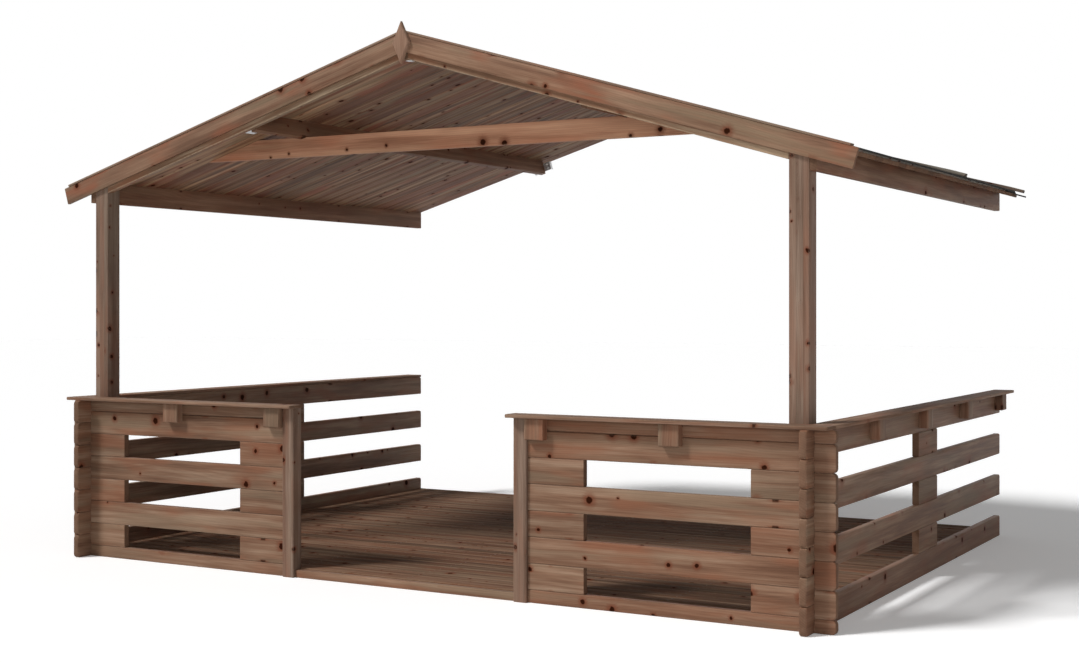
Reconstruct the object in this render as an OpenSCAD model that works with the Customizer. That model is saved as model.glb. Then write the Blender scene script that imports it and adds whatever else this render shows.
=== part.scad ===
// Garden veranda of stacked log walls: open at the back, entrance gap in front,
// two corner posts and a gable roof whose ridge runs from front to back.
// X runs across the entrance, Y from the front wall to the open back, Z up.
// The origin is on the ground, in the middle of the veranda's length and width.
// The modules draw from the front wall's outer face, and placed() centres them.

/* [Plan] */
// Width over the outer faces of the two side walls
wall_span = 4120; // [3400:10:5200]
// Depth from the front wall's outer face to the open back
depth = 3180; // [2600:10:4200]
// Clear width of the entrance between its two posts
entrance_w = 1264; // [900:2:1700]

/* [Logs] */
// Height of one log course
course_h = 120; // [100:2:140]
// Thickness of a wall log
log_t = 34; // [28:1:45]
// How far the logs run past the corner
log_past = 93; // [50:1:120]
// Bevel along the edges of a log, which makes the joint between courses
log_bevel = 5; // [2:0.5:8]
// Radius of the rounded log ends at the corner
log_end_r = 20; // [8:1:28]
// Clearance of the corner notches
notch_gap = 1; // [0.5:0.5:2]
// Length of the end piece beside an opening of the front wall
front_end_w = 355; // [200:5:500]
// Length of the log piece between an opening and the side wall's inner face
front_corner_w = 245; // [150:5:400]
// Length of the spacer pieces part-way along a side wall
spacer_w = 330; // [200:5:500]
// Distance of these spacer pieces from the front wall's outer face
spacer_y = 1511; // [1000:1:2000]

/* [Handrail] */
// Thickness of the handrail boards
cap_t = 16; // [12:1:28]
// Overhang of the front handrails past the front wall's outer face
cap_over = 70; // [50:1:100]
// Overhang of the handrails past the side walls' outer faces
side_cap_over = 83; // [50:1:100]
// Overhang of the handrail into the entrance
cap_end_over = 18; // [5:1:30]
// Width and height of the blocks below the handrail
block_w = 98; // [70:2:120]
// Depth of the blocks below the handrail
block_d = 45; // [30:1:60]
// Distance between the two blocks of a front handrail, middle to middle
front_block_pitch = 667; // [400:1:750]
// Distance of a side handrail's first block from the front wall's outer face
side_block_y0 = 735; // [400:1:900]
// Distance of a side handrail's last block from the open back
side_block_back = 23; // [0:1:200]

/* [Entrance posts] */
// Width of an entrance post, seen from the front
jamb_w = 70; // [55:1:95]
// Depth of an entrance post
jamb_d = 66; // [52:2:90]
// Depth of the groove that holds the log ends
jamb_groove = 20; // [10:1:30]

/* [Floor] */
// Thickness of the floor boards
floor_t = 19; // [16:1:28]
// Height of the joists
joist_h = 25; // [20:1:60]
// Width of the joists
joist_w = 70; // [45:1:90]
// Number of joists
joist_n = 7; // [5:1:9]
// Width of a floor board
board_w = 90; // [70:1:145]
// Smallest gap between floor boards
board_gap = 5; // [3:1:8]
// Clearance of the floor boards to the front wall and the entrance posts
floor_clear = 3; // [2:0.5:6]
// Width of the board along each side wall
edge_board_w = 45; // [30:1:70]

/* [Roof frame] */
// Pitch of the roof in degrees
pitch = 16.5; // [12:0.1:22]
// Height of the underside of the eave purlins
eave_h = 1905; // [1700:1:2200]
// Side of the square corner posts
post_w = 90; // [70:1:120]
// Thickness of the purlins, battens and tie beam
timber_t = 34; // [28:1:45]
// Depth of the middle purlins
purlin_d = 95; // [85:1:140]
// Depth of the gable battens and of the ridge purlin
batten_d = 85; // [70:1:105]
// Depth of the eave purlins at their inner face
eave_purlin_d = 113; // [95:1:150]
// Place of the middle purlins, down the slope from the ridge
purlin_s = 1003; // [800:1:1200]
// How far the middle and ridge purlins stop short of the back
purlin_short = 117; // [60:1:200]
// Distance of the tie beam from the front wall's outer face
tie_y = 470; // [300:5:900]
// Depth of the tie beam
tie_d = 104; // [80:1:130]
// How deep the tie beam is notched around the middle purlins
tie_notch = 2; // [1:1:20]

/* [Roof covering] */
// Thickness of the roof boards
roof_board_t = 19; // [14:1:24]
// Thickness of the roofing felt
felt_t = 3; // [2:0.5:5]
// Overhang of the roof boards past the side walls' outer faces
eave_over = 95; // [40:5:200]
// Width of the strip on the roof boards along each eave
eave_strip_w = 45; // [30:1:60]
// Thickness of the eave strips
eave_strip_t = 13; // [8:1:20]
// How far the eave strips stop short of the back
eave_strip_short = 300; // [100:10:600]
// Length over which the felt rises to the top of the eave strips
felt_ramp = 50; // [30:5:100]
// Overhang of the felt past the roof boards
felt_over = 50; // [20:1:70]
// Width of the laths that hold the felt down
lath_w = 45; // [30:1:60]
// Thickness of the laths
lath_t = 18; // [12:1:24]
// Overhang of the laths past the roof boards
lath_over = 37; // [15:1:60]
// Length over which the laths rise to the top of the eave strips
lath_rise = 600; // [300:10:1000]
// Middle of the lath part-way along the roof
lath_y = 1860; // [1200:10:2200]
// Thickness of the bargeboards
barge_t = 18; // [14:1:24]
// How far a bargeboard hangs below the underside of the roof boards
barge_below = 57; // [40:1:70]
// How far a bargeboard stands above the underside of the roof boards
barge_above = 33; // [30:1:50]
// Overhang of the bargeboards past the roof boards
barge_over = 81; // [75:1:120]
// Thickness of the strips on the bargeboards
strip_t = 10; // [6:1:14]
// Width of the strips on the bargeboards
strip_w = 45; // [30:1:60]
// How far the strips stand out in front of the bargeboards
strip_front = 4; // [1:1:10]
// How far the strips stop short of the bargeboards' lower ends
strip_short = 35; // [10:1:60]
// Height of the diamond at the top of the gable
diamond_h = 206; // [150:2:260]
// Width of the diamond
diamond_w = 96; // [70:2:120]
// Thickness of the diamond
diamond_t = 20; // [14:1:28]
// How far the diamond's middle is below the underside of the roof boards at the ridge
diamond_drop = 18; // [0:1:40]

/* [Steel plates] */
// Thickness of the steel plates
plate_t = 3; // [2:0.5:4]
// How far a plate at a back end reaches past each side of its purlin
plate_past = 48; // [30:1:60]
// How far a plate at a back end is below the top of its purlin
plate_drop = 24; // [5:1:40]
// Height of the plates at the back ends of the purlins
plate_h = 54; // [40:1:80]
// Depth of the folded edges of the back plates
plate_fold = 27; // [15:1:40]
// Width of each leg of the angles at the front ends of the middle purlins
angle_w = 40; // [25:1:60]
// Length of these angles
angle_l = 66; // [40:1:90]
// Length of the plate below the front end of the ridge purlin
ridge_plate_l = 30; // [20:1:60]

/* [Hidden] */

// Side walls and corners
out_x = wall_span / 2;
in_x = out_x - log_t;
stub_x = out_x + log_past;
half_h = course_h / 2;
neck_h = course_h / 4;
wall_h = 7 * course_h;

// Front wall
entry_x = entrance_w / 2;
log_x0 = entry_x + jamb_w - jamb_groove;
jamb_y0 = (log_t - jamb_d) / 2;
jamb_y1 = jamb_y0 + jamb_d;
opening_x0 = entry_x + front_end_w;
opening_x1 = in_x - front_corner_w;

// Blocks below the handrails
front_block_x0 = entry_x + jamb_w + 2;
side_block_n = 4;
side_block_pitch = (depth - side_block_back - block_w - side_block_y0) / (side_block_n - 1);

// Floor
floor_z = joist_h + floor_t;
floor_y0 = log_t + floor_clear;
board_n = floor((depth - floor_y0 + board_gap) / (board_w + board_gap));
board_pitch = (depth - floor_y0 - board_w) / (board_n - 1);
board_x = in_x - edge_board_w - board_gap;
joist_pitch = (2 * in_x - joist_w) / (joist_n - 1);

// Roof
post_x = in_x - post_w;
post_y1 = log_t + post_w;
barge_y0 = log_t - barge_t;
batten_y1 = log_t + timber_t;
purlin_y1 = depth - purlin_short;
ridge_z = eave_h + eave_purlin_d + in_x * tan(pitch);
roof_board_l = (out_x + eave_over) / cos(pitch);
felt_top = roof_board_t + felt_t;
raised_top = felt_top + eave_strip_t;
felt_l = roof_board_l + felt_over;
lath_l = roof_board_l + lath_over;
barge_l = roof_board_l + barge_over;
strip_y0 = barge_y0 - strip_front;
eave_strip_s = roof_board_l - eave_strip_w;
eave_strip_y0 = strip_y0 + strip_w + 2;
eave_strip_y1 = depth - eave_strip_short;
tie_top = on_slope(purlin_s, -purlin_d)[1] + tie_notch;

cut = 1;
$fn = 48;

wood = [0.50, 0.40, 0.33];
wood_dark = [0.42, 0.33, 0.27];
wood_warm = [0.56, 0.44, 0.35];
felt_black = [0.13, 0.13, 0.13];
steel = [0.70, 0.70, 0.69];

// Point of the right slope as [x, z]: s down it from the ridge, and n square to
// it, up from the underside of the roof boards.
function on_slope(s, n) =
    [s * cos(pitch) + n * sin(pitch), ridge_z - s * sin(pitch) + n * cos(pitch)];

// Point of the right slope on the upright line at x, n square to the slope, as [x, z].
function at_x(x, n) = [x, ridge_z - x * tan(pitch) + n / cos(pitch)];

// Prism from y0 to y1 whose outline is drawn in the XZ plane.
module across(outline, y0, y1) {
    translate([0, y1, 0])
        rotate([90, 0, 0])
            linear_extrude(y1 - y0)
                polygon(outline);
}

// The same thing on the left-hand side.
module left() {
    mirror([1, 0, 0])
        children();
}

// What is drawn from the front wall's outer face, moved to the veranda's origin.
module placed() {
    translate([0, -(depth - log_past) / 2, 0])
        children();
}

// What is drawn along X is turned to lie along Y.
module swap_xy() {
    rotate(90)
        mirror([0, 1, 0])
            children();
}

// ---- Logs ----

// Cross-section of a log of height h, with bevelled edges.
module log_section(h) {
    b = log_bevel;
    t = log_t;
    polygon([[b, 0], [t - b, 0], [t, b], [t, h - b], [t - b, h], [b, h], [0, h - b], [0, b]]);
}

// What a rounded corner loses; the square corner's tip is at the origin.
module corner_waste() {
    difference() {
        translate([-cut, -cut])
            square(log_end_r + cut);
        translate([log_end_r, log_end_r])
            circle(log_end_r);
    }
}

// What the two corners lose at the low end of a log of height h.
module end_waste(h) {
    translate([0, log_t + cut, 0])
        rotate([90, 0, 0])
            linear_extrude(log_t + 2 * cut) {
                corner_waste();
                translate([0, h])
                    mirror([0, 1])
                        corner_waste();
            }
}

// Notch for a crossing log, from x = 0 and z = 0 to the log's thickness.
module notch() {
    translate([-notch_gap, -cut, -cut])
        cube([log_t + 2 * notch_gap, log_t + 2 * cut, neck_h + cut]);
}

// Log of height h along X from x0 to x1, with its bottom at z0. It is rounded at
// x0 where that is its free end, and notched for the log that crosses at cross_x.
module corner_log(x0, x1, z0, h, cross_x, below = true, above = true) {
    difference() {
        translate([x0, 0, z0])
            rotate([90, 0, 90])
                linear_extrude(x1 - x0)
                    log_section(h);
        translate([x0, 0, z0])
            end_waste(h);
        if (below)
            translate([cross_x, 0, z0])
                notch();
        if (above)
            translate([cross_x, 0, z0 + h - neck_h])
                translate([0, 0, cut])
                    notch();
    }
}

// Plain piece of log along X from x0 to x1.
module plain_log(x0, x1, z0, h) {
    translate([x0, 0, z0])
        rotate([90, 0, 90])
            linear_extrude(x1 - x0)
                log_section(h);
}

// Log of the front wall's right half, which runs through the corner at its far end.
module front_log(x0, z0, h, below = true, above = true) {
    mirror([1, 0, 0])
        corner_log(-stub_x, -x0, z0, h, -out_x, below, above);
}

// Log of the right side wall, from in front of the front wall to y1.
module side_log(y1, z0) {
    translate([in_x, 0, 0])
        swap_xy()
            corner_log(-log_past, y1, z0, course_h, 0);
}

module front_logs() {
    color(wood) {
        front_log(log_x0, 0, half_h, below = false);
        for (row = [1 : 3])
            front_log(log_x0, half_h + (2 * row - 1) * course_h, course_h);
    }
}

module front_pieces() {
    color(wood_warm)
        for (row = [0 : 2]) {
            z0 = half_h + 2 * row * course_h;
            plain_log(log_x0, opening_x0, z0, course_h);
            front_log(opening_x1, z0, course_h);
        }
}

module front_top_log() {
    color(wood)
        front_log(log_x0, wall_h - half_h, half_h, above = false);
}

module side_rails() {
    color(wood)
        for (row = [0 : 3])
            side_log(depth, 2 * row * course_h);
}

module side_pieces() {
    color(wood_warm)
        for (row = [0 : 2]) {
            z0 = (2 * row + 1) * course_h;
            side_log(post_y1, z0);
            translate([in_x, 0, 0])
                swap_xy()
                    plain_log(spacer_y, spacer_y + spacer_w, z0, course_h);
        }
}

// Post beside the entrance, with a groove for the ends of the logs.
module entrance_post() {
    color(wood)
        difference() {
            translate([entry_x, jamb_y0, 0])
                cube([jamb_w, jamb_d, wall_h]);
            translate([log_x0, 0, -cut])
                cube([jamb_groove + cut, log_t, wall_h + 2 * cut]);
        }
}

// ---- Handrails ----

module front_handrail() {
    x0 = entry_x - cap_end_over;
    color(wood_warm)
        translate([x0, -cap_over, wall_h])
            cube([out_x + side_cap_over - x0, cap_over + log_t, cap_t]);
}

module side_handrail() {
    color(wood_warm)
        translate([in_x, log_t, wall_h])
            cube([log_t + side_cap_over, depth - log_t, cap_t]);
}

module front_brackets() {
    color(wood)
        for (i = [0 : 1])
            translate([front_block_x0 + i * front_block_pitch, -block_d, wall_h - block_w])
                cube([block_w, block_d, block_w]);
}

module side_brackets() {
    color(wood)
        for (i = [0 : side_block_n - 1])
            translate([out_x, side_block_y0 + i * side_block_pitch, wall_h - block_w])
                cube([block_d, block_w, block_w]);
}

// ---- Floor ----

module joists() {
    color(wood_dark)
        for (i = [0 : joist_n - 1])
            translate([-in_x + i * joist_pitch, jamb_y1, 0])
                cube([joist_w, depth - jamb_y1, joist_h]);
}

module floor_boards() {
    color(wood_dark)
        difference() {
            union() {
                for (i = [0 : board_n - 1])
                    translate([-board_x, floor_y0 + i * board_pitch, joist_h])
                        cube([2 * board_x, board_w, floor_t]);
                for (x = [-in_x, in_x - edge_board_w])
                    translate([x, floor_y0, joist_h])
                        cube([edge_board_w, depth - floor_y0, floor_t]);
            }
            for (x = [-entry_x - jamb_w, entry_x])
                translate([x - floor_clear, 0, joist_h - cut])
                    cube([jamb_w + 2 * floor_clear, jamb_y1 + floor_clear, floor_t + 2 * cut]);
        }
}

module threshold() {
    color(wood_warm)
        translate([-entry_x, 0, 0])
            cube([2 * entry_x, log_t, floor_z]);
}

// ---- Roof frame ----

module corner_post() {
    color(wood_warm)
        across([[post_x, floor_z], [in_x, floor_z], at_x(in_x, 0), at_x(post_x, 0)], log_t, post_y1);
}

module eave_purlin() {
    z0 = at_x(in_x, 0)[1] - eave_purlin_d;
    color(wood)
        across([[in_x, z0], [out_x, z0], at_x(out_x, 0), at_x(in_x, 0)], log_t, depth);
}

// Outline of a middle purlin, which stands square to the slope.
function middle_purlin_outline() = [
    on_slope(purlin_s, 0), on_slope(purlin_s + timber_t, 0),
    on_slope(purlin_s + timber_t, -purlin_d), on_slope(purlin_s, -purlin_d),
];

module middle_purlin() {
    color(wood)
        across(middle_purlin_outline(), batten_y1, purlin_y1);
}

module ridge_purlin() {
    x = timber_t / 2;
    z0 = at_x(x, -batten_d)[1];
    color(wood)
        across([[-x, z0], [x, z0], at_x(x, 0), [0, ridge_z], [-x, at_x(x, 0)[1]]], log_t, purlin_y1);
}

module tie_beam() {
    z0 = tie_top - tie_d;
    x0 = (ridge_z - z0) / tan(pitch);
    x1 = (ridge_z - tie_top) / tan(pitch);
    color(wood_warm)
        difference() {
            across([[-x0, z0], [x0, z0], [x1, tie_top], [-x1, tie_top]], tie_y, tie_y + timber_t);
            across(middle_purlin_outline(), tie_y - cut, tie_y + timber_t + cut);
            left()
                across(middle_purlin_outline(), tie_y - cut, tie_y + timber_t + cut);
        }
}

// Batten behind a bargeboard, from the ridge purlin to the corner post.
module gable_battens() {
    x0 = timber_t / 2;
    color(wood_dark)
        across([at_x(x0, -batten_d), at_x(x0, 0), at_x(post_x, 0), at_x(post_x, -batten_d)],
               log_t, batten_y1);
}

// ---- Roof covering ----

// Strip on the right slope from the ridge, cut plumb there, to s = s1.
module from_ridge(s1, n0, n1, y0, y1) {
    across([at_x(0, n0), at_x(0, n1), on_slope(s1, n1), on_slope(s1, n0)], y0, y1);
}

module roof_boards() {
    color(wood_dark)
        from_ridge(roof_board_l, 0, roof_board_t, log_t, depth);
}

// The felt lies flat on the boards and rises over the strip along the eave.
module roof_felt() {
    color(felt_black) {
        from_ridge(felt_l, roof_board_t, felt_top, log_t, eave_strip_y0);
        across([at_x(0, roof_board_t), at_x(0, felt_top),
                on_slope(eave_strip_s - felt_ramp, felt_top), on_slope(eave_strip_s, raised_top),
                on_slope(felt_l, raised_top), on_slope(felt_l, raised_top - felt_t),
                on_slope(eave_strip_s, raised_top - felt_t),
                on_slope(eave_strip_s - felt_ramp, roof_board_t)],
               eave_strip_y0, eave_strip_y1);
        from_ridge(felt_l, roof_board_t, felt_top, eave_strip_y1, depth);
    }
}

// Two laths that hold the felt down, and the eave strip below the felt.
module roof_laths() {
    color(wood_dark) {
        for (y = [lath_y - lath_w / 2, depth - lath_w])
            across([at_x(0, felt_top), at_x(0, felt_top + lath_t),
                    on_slope(eave_strip_s - lath_rise, felt_top + lath_t),
                    on_slope(eave_strip_s, raised_top + lath_t), on_slope(lath_l, raised_top + lath_t),
                    on_slope(lath_l, raised_top), on_slope(eave_strip_s, raised_top),
                    on_slope(eave_strip_s - lath_rise, felt_top)],
                   y, y + lath_w);
        across([on_slope(eave_strip_s, roof_board_t), on_slope(eave_strip_s, raised_top - felt_t),
                on_slope(roof_board_l, raised_top - felt_t), on_slope(roof_board_l, roof_board_t)],
               eave_strip_y0, eave_strip_y1);
    }
}

module bargeboard() {
    color(wood_warm)
        from_ridge(barge_l, -barge_below, barge_above, barge_y0, log_t);
}

module cover_strip() {
    color(wood)
        from_ridge(barge_l - strip_short, barge_above, barge_above + strip_t, strip_y0, strip_y0 + strip_w);
}

module gable_diamond() {
    z = ridge_z - diamond_drop;
    x = diamond_w / 2;
    half = diamond_h / 2;
    color(wood_warm)
        across([[0, z - half], [x, z], [0, z + half], [-x, z]], barge_y0 - diamond_t, barge_y0);
}

// ---- Steel plates ----

// Plate at the back end of a purlin from x0 to x1, with folded edges, up to z1.
module back_plate(x0, x1, z1) {
    translate([0, purlin_y1, z1 - plate_h]) {
        translate([x0, 0, 0])
            cube([x1 - x0, plate_t, plate_h]);
        for (x = [x0, x1 - plate_t])
            translate([x, 0, 0])
                cube([plate_t, plate_fold, plate_h]);
    }
}

// Back plate and front angle of the right middle purlin, in the slope's own axes.
module middle_plates() {
    s1 = purlin_s + timber_t;
    translate([0, 0, ridge_z])
        rotate([0, pitch, 0]) {
            back_plate(purlin_s - plate_past, s1 + plate_past, -plate_drop);
            translate([s1, batten_y1, -batten_d]) {
                cube([angle_w, angle_l, plate_t]);
                cube([plate_t, angle_l, angle_w]);
            }
        }
}

module ridge_plates() {
    x = timber_t / 2;
    back_plate(-x - plate_past, x + plate_past, at_x(x, 0)[1] - plate_drop);
    translate([-x, batten_y1, at_x(x, -batten_d)[1] - plate_t])
        cube([timber_t, ridge_plate_l, plate_t]);
}

module purlin_plates() {
    color(steel) {
        middle_plates();
        left()
            middle_plates();
        ridge_plates();
    }
}

placed() joists();
placed() floor_boards();
placed() threshold();
placed() ridge_purlin();
placed() tie_beam();
placed() gable_diamond();
placed() purlin_plates();
placed() left() front_logs();  // front_logs_left
placed() front_logs();  // front_logs_right
placed() left() front_pieces();  // front_pieces_left
placed() front_pieces();  // front_pieces_right
placed() left() front_top_log();  // front_top_log_left
placed() front_top_log();  // front_top_log_right
placed() left() side_rails();  // side_rails_left
placed() side_rails();  // side_rails_right
placed() left() side_pieces();  // side_pieces_left
placed() side_pieces();  // side_pieces_right
placed() left() entrance_post();  // entrance_post_left
placed() entrance_post();  // entrance_post_right
placed() left() front_handrail();  // front_handrail_left
placed() front_handrail();  // front_handrail_right
placed() left() side_handrail();  // side_handrail_left
placed() side_handrail();  // side_handrail_right
placed() left() front_brackets();  // front_brackets_left
placed() front_brackets();  // front_brackets_right
placed() left() side_brackets();  // side_brackets_left
placed() side_brackets();  // side_brackets_right
placed() left() corner_post();  // corner_post_left
placed() corner_post();  // corner_post_right
placed() left() eave_purlin();  // eave_purlin_left
placed() eave_purlin();  // eave_purlin_right
placed() left() middle_purlin();  // middle_purlin_left
placed() middle_purlin();  // middle_purlin_right
placed() left() gable_battens();  // gable_battens_left
placed() gable_battens();  // gable_battens_right
placed() left() roof_boards();  // roof_boards_left
placed() roof_boards();  // roof_boards_right
placed() left() roof_felt();  // roof_felt_left
placed() roof_felt();  // roof_felt_right
placed() left() roof_laths();  // roof_laths_left
placed() roof_laths();  // roof_laths_right
placed() left() bargeboard();  // bargeboard_left
placed() bargeboard();  // bargeboard_right
placed() left() cover_strip();  // cover_strip_left
placed() cover_strip();  // cover_strip_right
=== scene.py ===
import bpy
import random
from math import cos, radians, sin, tan
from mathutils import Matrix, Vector


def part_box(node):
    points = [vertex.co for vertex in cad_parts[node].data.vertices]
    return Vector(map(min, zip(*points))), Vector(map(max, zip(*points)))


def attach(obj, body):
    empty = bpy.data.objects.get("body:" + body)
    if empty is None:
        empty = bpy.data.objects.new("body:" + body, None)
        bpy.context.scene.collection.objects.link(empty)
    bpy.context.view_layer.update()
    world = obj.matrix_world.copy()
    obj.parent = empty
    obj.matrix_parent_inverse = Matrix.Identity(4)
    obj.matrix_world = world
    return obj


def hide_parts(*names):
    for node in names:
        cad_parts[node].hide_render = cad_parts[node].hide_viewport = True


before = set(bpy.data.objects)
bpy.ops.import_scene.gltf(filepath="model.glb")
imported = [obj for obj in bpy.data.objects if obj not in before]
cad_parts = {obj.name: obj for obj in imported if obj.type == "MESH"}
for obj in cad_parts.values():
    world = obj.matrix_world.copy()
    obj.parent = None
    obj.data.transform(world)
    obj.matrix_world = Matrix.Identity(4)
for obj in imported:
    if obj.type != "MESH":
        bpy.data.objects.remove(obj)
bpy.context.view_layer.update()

# Camera: a person standing off to the right of the entrance, with the lens at
# the height of the chest, so that the roof is seen from below.
front_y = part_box("threshold")[0].y
back_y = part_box("side_rails_right")[1].y


def stand(name, data):
    """Stands a camera or a lamp in the studio."""
    item = bpy.data.objects.new(name, data)
    bpy.context.scene.collection.objects.link(item)
    return item


camera_data = bpy.data.cameras.new("camera")
camera_data.sensor_width = 36.0
camera_data.lens = 52.18
camera_data.shift_y = -0.0225
camera = stand("camera", camera_data)
camera.location = (4.259, front_y - 6.137, 1.340)
camera.rotation_euler = (radians(90.0), 0.0, radians(29.679))
bpy.context.scene.camera = camera
bpy.context.scene.view_settings.view_transform = "Standard"

# Light: a large soft lamp high on the left in front of the entrance, a weaker one
# beside the camera that reaches under the roof, and a pale room all round, which
# is white where the camera or a polished face sees it.
sun_data = bpy.data.lights.new("sun", "SUN")
sun_data.energy = 2.9
sun_data.angle = radians(13.5)
sun = stand("sun", sun_data)
sun.rotation_euler = Vector((0.85, 1.0, -1.4)).to_track_quat("-Z", "Y").to_euler()

fill_data = bpy.data.lights.new("fill", "AREA")
fill_data.shape = "DISK"
fill_data.size = 1.1
fill_data.energy = 100.0
fill = stand("fill", fill_data)
fill.location = (4.27, front_y - 6.14, 2.0)
fill.rotation_euler = (Vector((0.0, 0.0, 1.4)) - fill.location).to_track_quat("-Z", "Y").to_euler()


def feed(tree, value, socket):
    """Gives a socket a number, a colour or what comes out of another node."""
    if isinstance(value, (int, float, tuple)):
        socket.default_value = value
    else:
        tree.links.new(value, socket)


def add_node(tree, kind, *values):
    """Adds a shader node and feeds the values to its sockets in turn."""
    node = tree.nodes.new("ShaderNode" + kind)
    for value, socket in zip(values, node.inputs):
        feed(tree, value, socket)
    return node


def seen_directly(tree):
    """1 where the camera looks, straight or by way of a shiny or clear face, and 0 elsewhere."""
    rays = add_node(tree, "LightPath")
    seen = rays.outputs["Is Camera Ray"]
    for ray in ("Is Transmission Ray", "Is Glossy Ray"):
        either = add_node(tree, "Math", seen, rays.outputs[ray])
        either.operation = "MAXIMUM"
        seen = either.outputs[0]
    return seen


world = bpy.data.worlds.new("studio")
bpy.context.scene.world = world
world.use_nodes = True
tree = world.node_tree
room = tree.nodes["Background"]
feed(tree, (1.0, 1.0, 1.0, 1.0), room.inputs["Color"])
feed(tree, 0.20, room.inputs["Strength"])
white = add_node(tree, "Background", (1.0, 1.0, 1.0, 1.0), 1.0)
pick = add_node(tree, "MixShader", seen_directly(tree), room.outputs[0], white.outputs[0])
feed(tree, pick.outputs[0], tree.nodes["World Output"].inputs["Surface"])

# Studio floor: a plain white ground sheet that keeps the veranda's shadow.
bpy.ops.mesh.primitive_plane_add(size=90.0)
ground = bpy.context.object
ground.name = "ground_sheet"
paper = bpy.data.materials.new("ground_paper")
paper.use_nodes = True
tree = paper.node_tree
tree.nodes.remove(tree.nodes["Principled BSDF"])
matt = add_node(tree, "BsdfDiffuse", (0.97, 0.97, 0.97, 1.0))
lift = add_node(tree, "Math", seen_directly(tree), 0.15)
lift.operation = "MULTIPLY"
glow = add_node(tree, "Emission", (1.0, 1.0, 1.0, 1.0), lift.outputs[0])
both = add_node(tree, "AddShader", matt.outputs[0], glow.outputs[0])
feed(tree, both.outputs[0], tree.nodes["Material Output"].inputs["Surface"])
ground.data.materials.append(paper)


# ---- Front wall logs ----
# Planed softwood logs, 34 mm thick, stacked on edge with bevelled joints. They
# run past the corners, where each is notched to lock over the crossing log, and
# all wood has the same thin brown stain with the grain showing through.
out_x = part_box("side_rails_right")[1].x
in_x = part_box("side_rails_right")[0].x
log_t = out_x - in_x
stub_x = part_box("front_logs_right")[1].x
stub_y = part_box("side_rails_right")[0].y
log_x0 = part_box("front_logs_right")[0].x
course = 0.120
wall_h = 7 * course
log_bevel = 0.005
log_end_r = 0.019
top_end_r = 0.016
log_arris = 0.0012
notch_gap = 0.001
top_log_foot = 0.010
opening = (0.987, 1.781)
near = 0.001
overrun = 0.01
chance = random.Random(27)
both_sides = ((-1, "left"), (1, "right"))
x_way, y_way, z_way = (1, 0, 0), (0, 1, 0), (0, 0, 1)


def timber(x, y, z):
    """A squared length of timber between two places along each axis."""
    size = [abs(pair[1] - pair[0]) for pair in (x, y, z)]
    middle = [(pair[0] + pair[1]) / 2 for pair in (x, y, z)]
    bpy.ops.mesh.primitive_cube_add(size=1.0, location=middle, scale=size)
    bpy.ops.object.transform_apply()
    return bpy.context.object


def pick_up(piece):
    """Takes one piece alone in hand."""
    bpy.ops.object.select_all(action="DESELECT")
    piece.select_set(True)
    bpy.context.view_layer.objects.active = piece


def choose(piece, kind, chosen):
    """Opens a piece for work with only the chosen corners, edges or faces marked."""
    bpy.ops.object.mode_set(mode="EDIT")
    bpy.ops.mesh.select_mode(type=kind)
    bpy.ops.mesh.select_all(action="DESELECT")
    bpy.ops.object.mode_set(mode="OBJECT")
    for part in {"VERT": piece.data.vertices, "EDGE": piece.data.edges, "FACE": piece.data.polygons}[kind]:
        part.select = chosen(part)
    bpy.ops.object.mode_set(mode="EDIT")


def plane_edges(piece, width, steps, chosen):
    """Planes a bevel along the edges whose middle and direction are chosen."""
    def wanted(edge):
        a, b = (piece.data.vertices[i].co for i in edge.vertices)
        return chosen((a + b) / 2, (b - a).normalized())

    choose(piece, "EDGE", wanted)
    bpy.ops.mesh.bevel(offset=width, offset_type="OFFSET", segments=steps, affect="EDGES")
    bpy.ops.object.mode_set(mode="OBJECT")


def soften(piece, width, steps=1, angle=40.0):
    """Takes the sharpness off every arris of a finished length."""
    pick_up(piece)
    bevel = piece.modifiers.new("arris", "BEVEL")
    bevel.width = width
    bevel.segments = steps
    bevel.limit_method = "ANGLE"
    bevel.angle_limit = radians(angle)
    bpy.ops.object.modifier_apply(modifier="arris")


def cut_out(piece, cutter):
    """Cuts the cutter's shape out of the piece, and takes the cutter away."""
    pick_up(piece)
    cut = piece.modifiers.new("cut", "BOOLEAN")
    cut.operation = "DIFFERENCE"
    cut.solver = "EXACT"
    cut.object = cutter
    bpy.ops.object.modifier_apply(modifier="cut")
    bpy.data.objects.remove(cutter)


def lay_grain(piece, along, across):
    """Gives one length of wood its own grain: metres along, across and through it."""
    along, across = Vector(along).normalized(), Vector(across).normalized()
    through = along.cross(across)
    mesh = piece.data
    spans = []
    for way in (along, across, through):
        places = [vertex.co.dot(way) for vertex in mesh.vertices]
        spans.append((min(places), max(places)))
    middle = [(low + high) / 2 for low, high in spans]
    half = Vector([(high - low) / 2 for low, high in spans])
    start = chance.uniform(0.0, 90.0)
    tone = chance.random()
    for name, kind, domain in (("grain", "FLOAT_VECTOR", "POINT"), ("half", "FLOAT_VECTOR", "POINT"),
                               ("tone", "FLOAT", "POINT"), ("endgrain", "FLOAT", "FACE")):
        if name in mesh.attributes:
            mesh.attributes.remove(mesh.attributes[name])
        mesh.attributes.new(name, kind, domain)
    for i, vertex in enumerate(mesh.vertices):
        place = [vertex.co.dot(way) - m for way, m in zip((along, across, through), middle)]
        mesh.attributes["grain"].data[i].vector = (place[0] + start, place[1], place[2])
        mesh.attributes["half"].data[i].vector = half
        mesh.attributes["tone"].data[i].value = tone
    for i, face in enumerate(mesh.polygons):
        mesh.attributes["endgrain"].data[i].value = 1.0 if abs(face.normal.dot(along)) > 0.75 else 0.0


def another(piece, shift, along, across):
    """A second length of the same make, moved by shift, with its own grain."""
    pick_up(piece)
    bpy.ops.object.duplicate()
    bpy.ops.transform.translate(value=shift)
    bpy.ops.object.transform_apply()
    copy = bpy.context.object
    lay_grain(copy, along, across)
    return copy


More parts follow.
